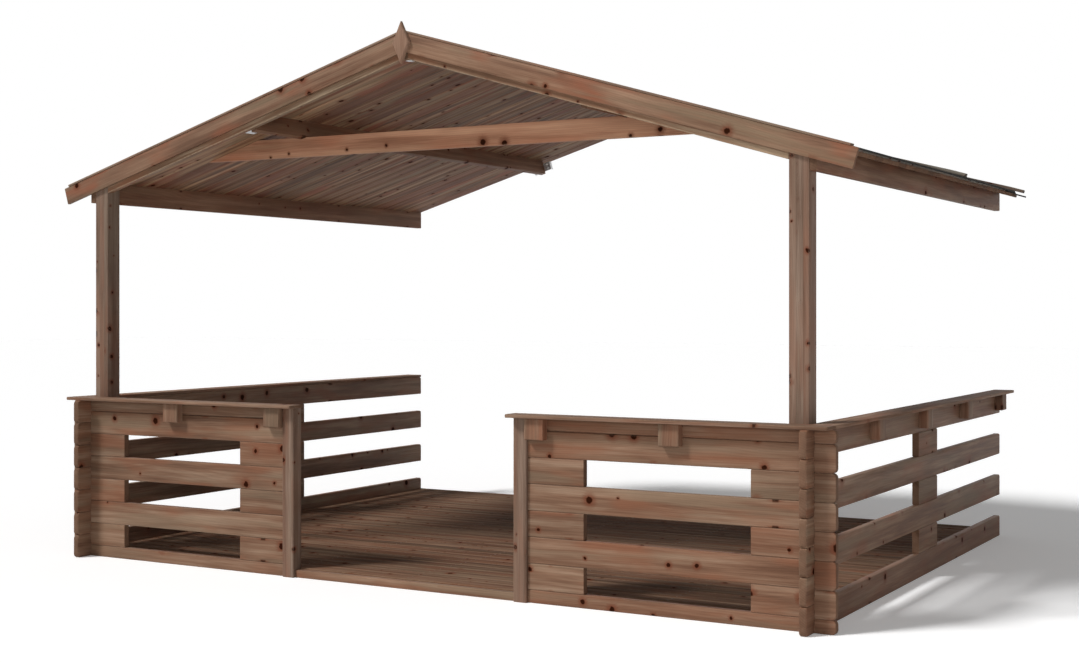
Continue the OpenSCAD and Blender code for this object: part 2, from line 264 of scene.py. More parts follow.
def gather(name, lengths, finish):
    """Joins lengths that are fixed together into one named piece with its finish."""
    bpy.ops.object.select_all(action="DESELECT")
    for length in lengths:
        length.select_set(True)
    bpy.context.view_layer.objects.active = lengths[0]
    if len(lengths) > 1:
        bpy.ops.object.join()
    piece = bpy.context.object
    piece.name = name
    piece.data.name = name
    piece.data.materials.clear()
    piece.data.materials.append(finish)
    bpy.ops.object.shade_smooth_by_angle(angle=radians(32.0))
    return piece


def srgb(red, green, blue):
    """A colour as it looks on a screen, 0 to 255, in the numbers that a shader takes."""
    return tuple((c / 255 / 12.92 if c < 11 else ((c / 255 + 0.055) / 1.055) ** 2.4)
                 for c in (red, green, blue)) + (1.0,)


def two_tones(tree, value, low, dark, high, light):
    """Turns a value into a colour: dark up to low, light from high on."""
    ramp = add_node(tree, "ValToRGB", value)
    for stop, place, colour in zip(ramp.color_ramp.elements, (low, high), (dark, light)):
        stop.position = place
        stop.color = colour
    return ramp


def add_relief(tree, height, strength, depth):
    """Makes a finish catch the light as if it rose and fell with height."""
    bump = add_node(tree, "Bump", strength, depth)
    feed(tree, height, bump.inputs["Height"])
    feed(tree, bump.outputs[0], tree.nodes["Principled BSDF"].inputs["Normal"])


def stained_wood(name, pale, brown, dark, red, olive, knots, knot_size=1.0, rough=0.6, sheen=0.12, wear_and_highlight=0.3,
                 patchy=1.0, variety=0.20, lamella=0.0, streaks=26.0, contrast=1.0):
    """Stained softwood: streaked colour, year rings that bend round knots, fine fibre."""
    ring = 0.011
    knot_scale = 8.0
    pale, brown, dark, red, olive = (srgb(*colour) for colour in (pale, brown, dark, red, olive))
    finish = bpy.data.materials.new(name)
    finish.use_nodes = True
    tree = finish.node_tree
    skin = tree.nodes["Principled BSDF"]

    def calc(operation, *values):
        node = add_node(tree, "Math", *values)
        node.operation = operation
        return node.outputs[0]

    def plus(first, second):
        return calc("ADD", first, second)

    def minus(first, second):
        return calc("SUBTRACT", first, second)

    def times(first, second):
        return calc("MULTIPLY", first, second)

    def between(value, low, high, to_low, to_high):
        node = add_node(tree, "MapRange", value, low, high, to_low, to_high)
        node.interpolation_type = "SMOOTHSTEP"
        return node.outputs[0]

    def point(x, y, z):
        return add_node(tree, "CombineXYZ", x, y, z).outputs[0]

    def noise(x, y, z, detail, roughness=0.55):
        return add_node(tree, "TexNoise", point(x, y, z), 0.0, 1.0, detail, roughness).outputs["Fac"]

    def blend(amount, first, second, way="MIX"):
        node = add_node(tree, "Mix", amount)
        node.data_type = "RGBA"
        node.blend_type = way
        feed(tree, first, node.inputs[6])
        feed(tree, second, node.inputs[7])
        return node.outputs[2]

    def read(attribute, output):
        node = add_node(tree, "Attribute")
        node.attribute_name = attribute
        return node.outputs[output]

    u, v, w = add_node(tree, "SeparateXYZ", read("grain", "Vector")).outputs
    half = add_node(tree, "SeparateXYZ", read("half", "Vector")).outputs
    tone = read("tone", "Fac")
    end_face = read("endgrain", "Fac")
    if lamella:
        across = calc("DIVIDE", plus(v, 3.4 * lamella), lamella)
        glued = add_node(tree, "TexWhiteNoise", point(calc("FLOOR", across), times(tone, 37.0), 0.0))
        glued.noise_dimensions = "2D"
        u = plus(u, times(glued.outputs["Value"], 11.0))
        tone = plus(times(tone, 0.35), times(glued.outputs["Value"], 0.65))

    def mottle(along, across, detail, roughness=0.55, drift=0.0):
        sideways = times(v, across)
        if drift:
            sideways = plus(sideways, times(tone, drift))
        return noise(times(u, along), sideways, times(w, across), detail, roughness)

    # Knots: one to a cell, of several sizes, slightly ragged, and not in every cell
    rag = mottle(55.0, 55.0, 2.0)
    wobble = times(minus(rag, 0.5), 0.012)
    off_v, off_w = minus(half[1], calc("ABSOLUTE", v)), minus(half[2], calc("ABSOLUTE", w))

    def knots_on(across, depth, start):
        spot = point(plus(plus(u, start), wobble), plus(minus(across, wobble), times(tone, 5.3)), 0.0)
        cells = add_node(tree, "TexVoronoi", spot, 0.0, knot_scale)
        cells.voronoi_dimensions = "2D"
        lot = add_node(tree, "SeparateColor", cells.outputs["Color"]).outputs
        here = times(calc("LESS_THAN", lot[1], knots), minus(1.0, end_face))
        here = times(here, between(depth, 0.004, 0.016, 1.0, 0.0))
        radius = plus(times(calc("POWER", lot[0], 1.3), 0.0105 * knot_size), 0.0038 * knot_size)
        reach = calc("DIVIDE", calc("DIVIDE", cells.outputs["Distance"], knot_scale), radius)
        return (times(between(reach, 0.75, 1.15, 1.0, 0.0), here),
                times(between(reach, 0.8, 3.4, 1.0, 0.0), here))

    wide_face, narrow_face = knots_on(v, off_w, 0.0), knots_on(w, off_v, 41.0)
    knot, halo = (calc("MAXIMUM", *pair) for pair in zip(wide_face, narrow_face))

    # Year rings, drawn out along the wood and bent round the knots
    slow = mottle(0.8, 4.0, 2.0)
    rings = plus(plus(v, times(w, 0.6)), plus(times(slow, 0.16), times(halo, 0.012)))
    rings = calc("FRACT", calc("DIVIDE", rings, ring))
    late = times(between(rings, 0.35, 0.92, 0.0, 1.0), between(rings, 0.92, 1.0, 1.0, 0.0))

    # Colour: long streaks of pale, brown and dark, with reddish and olive patches
    drawn = mottle(1.3, streaks, 4.0, 0.62)
    fine = mottle(5.0, 300.0, 2.0)
    patch = mottle(2.3, 8.0, 2.0, drift=19.0)
    calm = minus(1.0, times(end_face, 0.8))
    flat = times(end_face, 0.7)
    stain = two_tones(tree, plus(times(drawn, minus(1.0, flat)), times(flat, 0.47)),
                      0.5 - 0.17 / contrast, dark, 0.5 + 0.17 / contrast, pale)
    stain.color_ramp.elements.new(0.5).color = brown
    strength = min(0.95, 0.55 * patchy)
    colour = blend(times(between(patch, 0.50, 0.68, 0.0, strength), calm), stain.outputs[0], red)
    cool = mottle(0.9, 15.0, 3.0, drift=43.0)
    colour = blend(times(between(cool, 0.50, 0.66, 0.0, strength), calm), colour, olive)
    edge = calc("DIVIDE", calc("ABSOLUTE", v), half[1])
    resin = noise(times(u, 2.1), times(calc("SIGN", v), 3.7), times(tone, 57.0), 2.0)
    resin = times(between(resin, 0.52, 0.68, 0.0, 0.55), between(edge, 0.35, 1.0, 0.0, 1.0))
    colour = blend(times(resin, calm), colour, red)
    blush = between(calc("FRACT", times(tone, 7.31)), 0.55, 1.0, 0.0, 0.35 * patchy)
    colour = blend(times(blush, calm), colour, red)
    shade = plus(1.0 - variety / 2, times(tone, variety))
    soak = mottle(2.6, 11.0, 3.0, drift=71.0)
    shade = plus(shade, times(minus(soak, 0.5), times(calm, 0.55)))
    shade = minus(shade, times(late, 0.11))
    shade = plus(shade, times(minus(fine, 0.5), 0.22))
    shade = times(shade, minus(1.0, times(end_face, 0.22)))
    if lamella:
        across = calc("FRACT", across)
        seam = plus(between(across, 0.0, 0.05, 1.0, 0.0), between(across, 0.95, 1.0, 0.0, 1.0))
        shade = times(shade, minus(1.0, times(seam, 0.25)))
    grey = add_node(tree, "CombineColor", shade, shade, shade).outputs[0]
    colour = blend(1.0, colour, grey, "MULTIPLY")
    colour = blend(times(calc("POWER", halo, 1.5), 0.72), colour, srgb(100, 48, 27))
    colour = blend(times(knot, 0.96), colour, srgb(40, 17, 8))

    # Paler arrises where two faces meet along the wood: the stain worn thin, and where the amount is raised,
    # as on the battens, also a painted highlight along the edge
    rim = times(between(off_v, 0.001, 0.006, 1.0, 0.0), between(off_w, 0.001, 0.006, 1.0, 0.0))
    rim = times(rim, between(rag, 0.35, 0.6, 0.35, 1.0))
    colour = blend(times(rim, wear_and_highlight), colour, pale)

    dull = plus(plus(rough, times(minus(fine, 0.5), 0.25)), times(knot, 0.10))
    feed(tree, colour, skin.inputs["Base Color"])
    feed(tree, times(minus(1.0, knot), sheen), skin.inputs["Specular IOR Level"])
    feed(tree, plus(dull, times(end_face, 0.15)), skin.inputs["Roughness"])
    height = plus(plus(times(fine, 0.55), times(late, 0.30)), times(knot, 0.35))
    add_relief(tree, height, 0.35, 0.0012)
    return finish


log_finish = stained_wood("log_stain", pale=(142, 117, 97), brown=(120, 91, 72), dark=(94, 67, 51),
                          red=(124, 80, 58), olive=(121, 102, 83), knots=0.24, knot_size=1.25, patchy=1.1)

log_grain = {"x": (x_way, z_way), "y": (y_way, z_way)}


def wall_log(x, y, z, run, free_end=None, crossing=None, below=True, above=True, foot=0.0, top_end=None):
    """One log along run. Its free end is rounded above and below, its top end only above; it is
    notched below and above where it crosses another, and foot is a wider bevel underneath."""
    log = timber(x, y, z)
    axis = 0 if run == "x" else 1
    side = 1 - axis
    low, high = sorted((y, x)[axis])
    ends = [end for end in (free_end, top_end) if end is not None]
    if free_end is not None:
        plane_edges(log, log_end_r, 4,
                    lambda middle, way: abs(middle[axis] - free_end) < near and abs(way[side]) > 0.9)
    if top_end is not None:
        plane_edges(log, top_end_r, 4,
                    lambda middle, way: abs(middle[axis] - top_end) < near and abs(way[side]) > 0.9
                    and middle[2] > z[1] - near)
    if foot:
        plane_edges(log, foot, 1, lambda middle, way: abs(way[axis]) > 0.99 and middle[2] < z[0] + near)
    plane_edges(log, log_bevel, 2,
                lambda middle, way: abs(way[side]) < 0.01 and not (foot and middle[2] < z[0] + foot + near)
                and min(abs(middle[side] - low), abs(middle[side] - high)) < near
                and (abs(way[2]) < 0.999 or any(abs(middle[axis] - end) < near for end in ends)))
    soften(log, log_arris)
    if crossing is not None:
        reach = (min(crossing) - notch_gap, max(crossing) + notch_gap)
        through = (low - overrun, high + overrun)
        for wanted, span in ((below, (z[0] - overrun, z[0] + course / 4)),
                             (above, (z[1] - course / 4, z[1] + overrun))):
            if wanted:
                cut_out(log, timber(*((reach, through) if run == "x" else (through, reach)), span))
    lay_grain(log, *log_grain[run])
    return log


def stack(logs, rows, run):
    """Repeats a row of logs upwards, leaving out each second row."""
    firsts = list(logs)
    for row in range(1, rows):
        logs += [another(log, (0, 0, 2 * course * row), *log_grain[run]) for log in firsts]
    return logs


front_band = (front_y, front_y + log_t)
for side, where in both_sides:
    corner = (side * in_x, side * out_x)
    whole = (side * log_x0, side * stub_x)
    z = (1.5 * course, 2.5 * course)
    logs = stack([wall_log(whole, front_band, z, "x", side * stub_x, corner)], 3, "x")
    logs.append(wall_log(whole, front_band, (0, course / 2), "x", side * stub_x, corner, below=False))
    long_logs = gather("front_wall_logs_" + where, logs, log_finish)
    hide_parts("front_logs_" + where)
    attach(long_logs, "root")

    top_log = gather("front_wall_top_log_" + where,
                     [wall_log(whole, front_band, (wall_h - course / 2, wall_h), "x", side * stub_x, corner,
                               above=False, foot=top_log_foot)], log_finish)
    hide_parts("front_top_log_" + where)
    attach(top_log, "root")

    z = (course / 2, 1.5 * course)
    pieces = [wall_log((side * log_x0, side * opening[0]), front_band, z, "x"),
              wall_log((side * opening[1], side * stub_x), front_band, z, "x", side * stub_x, corner)]
    short_logs = gather("front_wall_short_logs_" + where, stack(pieces, 3, "x"), log_finish)
    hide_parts("front_pieces_" + where)
    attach(short_logs, "root")


# ---- Side wall logs ----
# The same logs from front to back, half a course lower, with open rows between
# them. Short lengths fill the rows at the front corner and half-way along.
spacer_y = (front_y + 1.511, front_y + 1.841)
post_y1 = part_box("corner_post_right")[1].y
for side, where in both_sides:
    wall = (side * in_x, side * out_x)
    logs = stack([wall_log(wall, (stub_y, back_y), (0, course), "y", stub_y, front_band, top_end=back_y)],
                 4, "y")
    rails = gather("side_wall_rails_" + where, logs, log_finish)
    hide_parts("side_rails_" + where)
    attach(rails, "root")

    z = (course, 2 * course)
    pieces = [wall_log(wall, (stub_y, post_y1), z, "y", stub_y, front_band),
              wall_log(wall, spacer_y, z, "y")]
    short_logs = gather("side_wall_short_logs_" + where, stack(pieces, 3, "y"), log_finish)
    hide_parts("side_pieces_" + where)
    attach(short_logs, "root")


# ---- Entrance posts ----
# Upright posts of planed softwood beside the entrance, grooved down their outer
# face, where the ends of the logs are held.
post_finish = stained_wood("post_stain", pale=(140, 120, 105), brown=(117, 96, 82), dark=(94, 71, 57),
                           red=(124, 88, 70), olive=(122, 106, 90), knots=0.42, lamella=0.032)
up = (z_way, x_way)
groove_d = 0.020
post_round, post_arris = 0.006, 0.0015


def full_length(node, taller=0.0):
    """A squared length that fills the place of one named piece, or is made taller than it."""
    low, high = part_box(node)
    return timber((low.x, high.x), (low.y, high.y), (low.z, high.z + taller))


for side, where in both_sides:
    post = full_length("entrance_post_" + where)
    plane_edges(post, post_round, 3, lambda middle, way: abs(way.z) > 0.9)
    soften(post, post_arris)
    low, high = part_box("entrance_post_" + where)
    outer = high.x if side > 0 else low.x
    cut_out(post, timber((outer - side * groove_d, outer + side * overrun), front_band,
                         (-overrun, wall_h + overrun)))
    lay_grain(post, *up)
    post = gather("doorway_post_" + where, [post], post_finish)
    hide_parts("entrance_post_" + where)
    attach(post, "root")


# ---- Handrails ----
# Flat boards with rounded edges, screwed down on the top logs. The side boards
# butt against the back edge of the front ones.
rail_finish = stained_wood("handrail_stain", pale=(146, 122, 104), brown=(124, 97, 80), dark=(98, 73, 58),
                           red=(130, 88, 69), olive=(128, 110, 93), knots=0.28, sheen=0.03)
rail_round, rail_arris = 0.014, 0.004
for side, where in both_sides:
    front_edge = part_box("front_handrail_" + where)[0].y
    board = full_length("front_handrail_" + where)
    plane_edges(board, rail_round, 4, lambda middle, way: abs(way.z) > 0.9 and middle.y < front_edge + near)
    soften(board, rail_arris, 3)
    lay_grain(board, x_way, y_way)
    board = gather("front_rail_board_" + where, [board], rail_finish)
    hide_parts("front_handrail_" + where)
    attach(board, "root")

    board = full_length("side_handrail_" + where)
    soften(board, rail_arris, 3)
    lay_grain(board, y_way, x_way)
    board = gather("side_rail_board_" + where, [board], rail_finish)
    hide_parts("side_handrail_" + where)
    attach(board, "root")


# ---- Handrail brackets ----
# Short blocks of the post timber, screwed to the outside of the walls, with the
# grain upright. They carry the overhang of the handrails.
block_w, side_blocks = 0.098, 4
block_finish = stained_wood("bracket_stain", pale=(142, 117, 97), brown=(118, 91, 73), dark=(94, 68, 53),
                            red=(130, 84, 62), olive=(122, 103, 84), knots=0.02)


def row_of(first, step, count, along, across):
    """A length and its copies at equal steps, each with its own grain."""
    return [first] + [another(first, [part * i for part in step], along, across) for i in range(1, count)]


def bracket(x, y, z, outward):
    """One block, rounded along the lower edge of its outer face."""
    block = timber(x, y, z)
    axis = 0 if abs(outward[0]) > 0 else 1
    face = max(x) if outward[0] > 0 else min(x) if outward[0] < 0 else min(y)
    plane_edges(block, post_round, 3, lambda middle, way: abs(middle[axis] - face) < near)
    soften(block, post_arris)
    lay_grain(block, z_way, y_way if axis == 0 else x_way)
    return block


for side, where in both_sides:
    low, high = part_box("front_brackets_" + where)
    first = bracket((low.x, low.x + block_w), (low.y, high.y), (low.z, high.z), (0, -1))
    blocks = row_of(first, (high.x - low.x - block_w, 0, 0), 2, z_way, x_way)
    blocks = gather("front_rail_blocks_" + where, blocks, block_finish)
    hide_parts("front_brackets_" + where)
    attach(blocks, "root")

    low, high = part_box("side_brackets_" + where)
    first = bracket((low.x, high.x), (low.y, low.y + block_w), (low.z, high.z), (side, 0))
    step = (high.y - low.y - block_w) / (side_blocks - 1)
    blocks = row_of(first, (0, step, 0), side_blocks, z_way, y_way)
    blocks = gather("side_rail_blocks_" + where, blocks, block_finish)
    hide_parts("side_brackets_" + where)
    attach(blocks, "root")


# ---- Floor ----
# Planed boards with rounded edges, laid across the veranda on joists with a gap
# for rain, and one narrow board along each side wall. Two screws at each joist.
floor_finish = stained_wood("floor_stain", pale=(132, 108, 89), brown=(105, 81, 65), dark=(78, 57, 45),
                            red=(116, 76, 57), olive=(112, 94, 77), knots=0.30, sheen=0.015, rough=0.75,
                             variety=0.34, wear_and_highlight=0.7)
low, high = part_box("floor_boards")
deck_w, deck_n, deck_round = 0.090, 33, 0.0035
edge_w, edge_arris = 0.045, 0.003
board_gap, post_gap = 0.005, 0.003
pitch_y = (high.y - low.y - deck_w) / (deck_n - 1)
half_board = in_x - edge_w - board_gap
first = timber((-half_board, half_board), (low.y + pitch_y, low.y + pitch_y + deck_w), (low.z, high.z))
plane_edges(first, deck_round, 3, lambda middle, way: abs(way.x) > 0.9 and middle.z > high.z - near)
soften(first, log_arris)
lay_grain(first, x_way, y_way)
boards = row_of(first, (0, pitch_y, 0), deck_n - 1, x_way, y_way)
front_board = another(first, (0, -pitch_y, 0), x_way, y_way)
for where in ("left", "right"):
    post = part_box("entrance_post_" + where)
    cut_out(front_board, timber((post[0].x - post_gap, post[1].x + post_gap),
                                (low.y - overrun, post[1].y + post_gap), (low.z - overrun, high.z + overrun)))
lay_grain(front_board, x_way, y_way)
boards.append(front_board)
for side in (-1, 1):
    edge = timber((side * (in_x - edge_w), side * in_x), (low.y, high.y), (low.z, high.z))
    soften(edge, edge_arris, 2)
    lay_grain(edge, y_way, x_way)
    boards.append(edge)
deck = gather("deck_boards", boards, floor_finish)
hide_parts("floor_boards")
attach(deck, "root")

sill_drop, sill_arris = 0.006, 0.004
sill = full_length("threshold", -sill_drop)
soften(sill, sill_arris, 3)
lay_grain(sill, x_way, z_way)
sill = gather("doorway_sill", [sill], log_finish)
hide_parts("threshold")
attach(sill, "root")


# ---- Corner posts ----
# Square posts glued up from three laths, with rounded edges. They stand on the
# floor inside the front corners and are sawn to the slope of the roof boards.
pitch = radians(16.5)
board_t = 0.019
corner_round = 0.005
ridge_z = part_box("roof_boards_right")[1].z - board_t / cos(pitch)


def roof_normal(side):
    return Vector((side * sin(pitch), 0.0, cos(pitch)))


def saw(piece, point, normal, through=True):
    """Saws off what lies beyond a plane, on the side that its normal points to. If not through,
    it only marks the line right round the piece, where the piece can be bent."""
    pick_up(piece)
    bpy.ops.object.mode_set(mode="EDIT")
    bpy.ops.mesh.select_all(action="SELECT")
    bpy.ops.mesh.bisect(plane_co=point, plane_no=normal, use_fill=through, clear_outer=through)
    bpy.ops.object.mode_set(mode="OBJECT")


for side, where in both_sides:
    post = full_length("corner_post_" + where, 2 * overrun)
    saw(post, (0.0, 0.0, ridge_z), roof_normal(side))
    plane_edges(post, corner_round, 3, lambda middle, way: abs(way.z) > 0.9)
    soften(post, log_arris)
    lay_grain(post, *up)
    post = gather("roof_post_" + where, [post], post_finish)
    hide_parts("corner_post_" + where)
    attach(post, "root")


# ---- Roof frame ----
# Planed purlins on edge: one on each eave, one half-way up each slope and one at
# the ridge. A tie beam hangs below, and battens run up behind the bargeboards.
beam_finish = stained_wood("beam_stain", pale=(143, 114, 92), brown=(115, 88, 69), dark=(88, 62, 47),
                           red=(122, 76, 55), olive=(116, 97, 76), knots=0.26, knot_size=1.2)
# The tie beam's stain is painted far paler than the other beams', as painted light standing in for the light
# that reaches its face under the roof.
tie_painted_light_finish = stained_wood("tie_beam_painted_light_stain", pale=(190, 150, 120), brown=(172, 128, 101), dark=(140, 101, 78),
                          red=(172, 112, 84), olive=(164, 134, 105), knots=0.42, knot_size=1.15)
# The battens' stain is painted paler, with broad pale edges, as painted light and a painted highlight where
# they sit in the shade of the bargeboards.
batten_painted_light_finish = stained_wood("batten_painted_light_stain", pale=(168, 148, 124), brown=(124, 97, 76), dark=(96, 72, 56),
                             red=(130, 85, 61), olive=(126, 107, 86), knots=0.22, wear_and_highlight=0.7)
middle_s = (1.003, 1.037)
purlin_h, beam_arris = 0.095, 0.003
batten_l, batten_h = 2.1, 0.085
batten_x = (0.017, in_x - 0.090)
lath_arris = 0.002
past_ridge = 0.05


def sloped(piece, side):
    """Lays a length, made level with the ridge at the origin, on one slope of the roof."""
    pick_up(piece)
    piece.rotation_euler = (0.0, side * pitch, 0.0)
    piece.location = (0.0, 0.0, ridge_z)
    bpy.ops.object.transform_apply()


def on_slope(piece, side):
    """Lays a level length on one slope and saws it off upright at the ridge."""
    sloped(piece, side)
    saw(piece, (0.0, 0.0, 0.0), (-side, 0.0, 0.0))


def down_slope(side):
    return Vector((side * cos(pitch), 0.0, -sin(pitch)))


for side, where in both_sides:
    beam = full_length("eave_purlin_" + where)
    saw(beam, (side * in_x, 0.0, ridge_z - in_x * tan(pitch)), roof_normal(side))
    soften(beam, beam_arris, 2)
    lay_grain(beam, y_way, z_way)
    beam = gather("eave_beam_" + where, [beam], beam_finish)
    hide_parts("eave_purlin_" + where)
    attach(beam, "root")

    low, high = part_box("middle_purlin_" + where)
    beam = timber((side * middle_s[0], side * middle_s[1]), (low.y, high.y), (-purlin_h, 0.0))
    soften(beam, beam_arris, 2)
    sloped(beam, side)
    lay_grain(beam, y_way, roof_normal(side))
    beam = gather("middle_beam_" + where, [beam], beam_finish)
    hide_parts("middle_purlin_" + where)
    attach(beam, "root")

beam = full_length("ridge_purlin")
for side in (-1, 1):
    saw(beam, (0.0, 0.0, ridge_z), roof_normal(side))
soften(beam, beam_arris, 2)
lay_grain(beam, y_way, z_way)
beam = gather("ridge_beam", [beam], beam_finish)
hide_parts("ridge_purlin")
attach(beam, "root")

low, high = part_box("tie_beam")
beam = full_length("tie_beam")
for side in (-1, 1):
    saw(beam, (0.0, 0.0, ridge_z), roof_normal(side))
soften(beam, beam_arris, 2)
for side in (-1, 1):
    cutter = timber((side * middle_s[0], side * middle_s[1]), (low.y - overrun, high.y + overrun),
                    (-purlin_h, 2 * overrun))
    sloped(cutter, side)
    cut_out(beam, cutter)
lay_grain(beam, x_way, z_way)
beam = gather("tie", [beam], tie_painted_light_finish)
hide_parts("tie_beam")
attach(beam, "root")

for side, where in both_sides:
    low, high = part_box("gable_battens_" + where)
    batten = timber((-side * past_ridge, side * batten_l), (low.y, high.y), (-batten_h, 0.0))
    sloped(batten, side)
    saw(batten, (side * batten_x[0], 0.0, 0.0), (-side, 0.0, 0.0))
    saw(batten, (side * batten_x[1], 0.0, 0.0), (side, 0.0, 0.0))
    soften(batten, lath_arris)
    lay_grain(batten, down_slope(side), roof_normal(side))
    battens = gather("gable_batten_" + where, [batten], batten_painted_light_finish)
    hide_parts("gable_battens_" + where)
    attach(battens, "root")


# ---- Roof boards ----
# Tongued boards, 19 mm thick, nailed to the purlins from the ridge down to the
# eave. Their bevelled lower edges make a groove at each joint.
roof_finish = stained_wood("roof_board_stain", pale=(158, 126, 97), brown=(124, 91, 68), dark=(86, 60, 45),
                           red=(126, 72, 52), olive=(130, 108, 84), knots=0.24, knot_size=1.1,
                           streaks=30.0, contrast=1.25, patchy=1.4, variety=0.50)
board_n, joint_gap = 27, 0.0004
groove_bevel, top_bevel = 0.0045, 0.0015
low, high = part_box("roof_boards_right")
board_w = (high.y - low.y) / board_n
board_l = high.x / cos(pitch) - board_t * tan(pitch)
for side, where in both_sides:
    first = timber((-side * past_ridge, side * board_l),
                   (low.y + joint_gap, low.y + board_w - joint_gap), (0.0, board_t))
    plane_edges(first, groove_bevel, 1, lambda middle, way: abs(way.x) > 0.9 and middle.z < near)
    plane_edges(first, top_bevel, 1, lambda middle, way: abs(way.x) > 0.9 and middle.z > board_t - near)
    on_slope(first, side)
    lay_grain(first, down_slope(side), y_way)
    boards = row_of(first, (0, board_w, 0), board_n, down_slope(side), y_way)
    boards = gather("roof_boarding_" + where, boards, roof_finish)
    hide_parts("roof_boards_" + where)
    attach(boards, "root")


# ---- Roofing felt ----
# Black mineral felt in courses 1 m wide, each lapped over the one below, with a
# strip over the ridge. Near the eave it rises over the strip that edges it.
felt_t = 0.003
low_s, high_s, cap_end = (1.28, 2.2976), (0.30, 1.38), 0.40
lip_out, lip_down = 0.001, 0.006
drop_s = (1.24, 1.27)
felt_top = board_t + felt_t
rise_s, rise_n = (2.1526, 2.2026), 6
strip_t = 0.013
felt_y = (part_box("roof_felt_right")[0].y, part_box("roof_felt_right")[1].y)
eave_y = (front_y + 0.059, front_y + 2.880)


def surface(name, wide, fine, rough, dark, light, bumps, depth, metal=0.0, gloss=0.5):
    """A coated or metal face: two colours in patches, fine speckle and relief."""
    finish = bpy.data.materials.new(name)
    finish.use_nodes = True
    tree = finish.node_tree
    skin = tree.nodes["Principled BSDF"]
    feed(tree, metal, skin.inputs["Metallic"])
    feed(tree, gloss, skin.inputs["Specular IOR Level"])
    place = add_node(tree, "TexCoord").outputs["Object"]
    broad = add_node(tree, "TexNoise", place, 0.0, wide, 4.0).outputs["Fac"]
    grit = add_node(tree, "TexVoronoi", place, 0.0, fine).outputs["Color"]
    both = add_node(tree, "Math", add_node(tree, "SeparateColor", grit).outputs[0], 0.55, broad)
    both.operation = "MULTIPLY_ADD"
    coat = two_tones(tree, both.outputs[0], 0.35, srgb(*dark), 1.05, srgb(*light))
    feed(tree, coat.outputs[0], skin.inputs["Base Color"])
    dull = add_node(tree, "MapRange", broad, 0.0, 1.0, rough - 0.08, rough + 0.08)
    feed(tree, dull.outputs[0], skin.inputs["Roughness"])
    add_relief(tree, both.outputs[0], bumps, depth)
    return finish


def raise_points(piece, chosen, by):
    """Lifts the points whose place is chosen."""
    choose(piece, "VERT", lambda point: chosen(point.co))
    bpy.ops.transform.translate(value=(0.0, 0.0, by))
    bpy.ops.object.mode_set(mode="OBJECT")


def felt_sheet(side, s0, s1, height):
    """One course of felt, level, with the ridge at the origin, before it is laid."""
    bpy.ops.mesh.primitive_plane_add(size=1.0, location=(side * (s0 + s1) / 2, sum(felt_y) / 2, height))
    bpy.context.object.scale = (s1 - s0, felt_y[1] - felt_y[0], 1.0)
    bpy.ops.object.transform_apply()
    return bpy.context.object


def thicken(sheet):
    """Gives a course of felt its thickness, upwards."""
    pick_up(sheet)
    thick = sheet.modifiers.new("thick", "SOLIDIFY")
    thick.thickness = felt_t
    thick.offset = 1.0
    bpy.ops.object.modifier_apply(modifier="thick")


felt_finish = surface("felt_granules", wide=3.0, fine=900.0, rough=0.88, dark=(20, 19, 18),
                      light=(52, 50, 47), bumps=0.6, depth=0.0008, gloss=0.12)
for side, where in both_sides:
    low_course = felt_sheet(side, *low_s, board_t)
    choose(low_course, "EDGE", lambda edge: all(abs(low_course.data.vertices[i].co.x) > low_s[1] - near
                                                for i in edge.vertices))
    bpy.ops.mesh.extrude_region_move(TRANSFORM_OT_translate={"value": (side * lip_out, 0.0, -lip_down)})
    bpy.ops.object.mode_set(mode="OBJECT")
    rows = [(rise_s[0] + (rise_s[1] - rise_s[0]) * i / rise_n, (i / rise_n) ** 2 * (3 - 2 * i / rise_n))
            for i in range(rise_n + 1)]
    for s, _ in rows:
        saw(low_course, (side * s, 0, 0), x_way, through=False)
    ends = [(eave_y[0] - 0.014, 0.0), (eave_y[0], 1.0), (eave_y[1], 1.0), (eave_y[1] + 0.025, 0.5),
            (eave_y[1] + 0.05, 0.0)]
    for y, _ in ends:
        saw(low_course, (0, y, 0), y_way, through=False)
    for y, part in ends[1:4]:
        for i, (s, share) in enumerate(rows[1:], 1):
            raise_points(low_course, lambda at: abs(at.y - y) < near
                         and (abs(abs(at.x) - s) < near or i == rise_n and abs(at.x) > s),
                         strip_t * share * part)
    high_course = felt_sheet(side, *high_s, felt_top)
    for s in reversed(drop_s):
        saw(high_course, (side * s, 0, 0), x_way, through=False)
    raise_points(high_course, lambda at: abs(at.x) < sum(drop_s) / 2, -felt_t)
    cap = felt_sheet(side, -past_ridge, cap_end, felt_top)
    courses = [low_course, high_course, cap]
    for sheet in courses:
        thicken(sheet)
        sloped(sheet, side)
    saw(cap, (0.0, 0.0, 0.0), (-side, 0.0, 0.0))
    felt = gather("felt_courses_" + where, courses, felt_finish)
    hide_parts("roof_felt_" + where)
    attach(felt, "root")


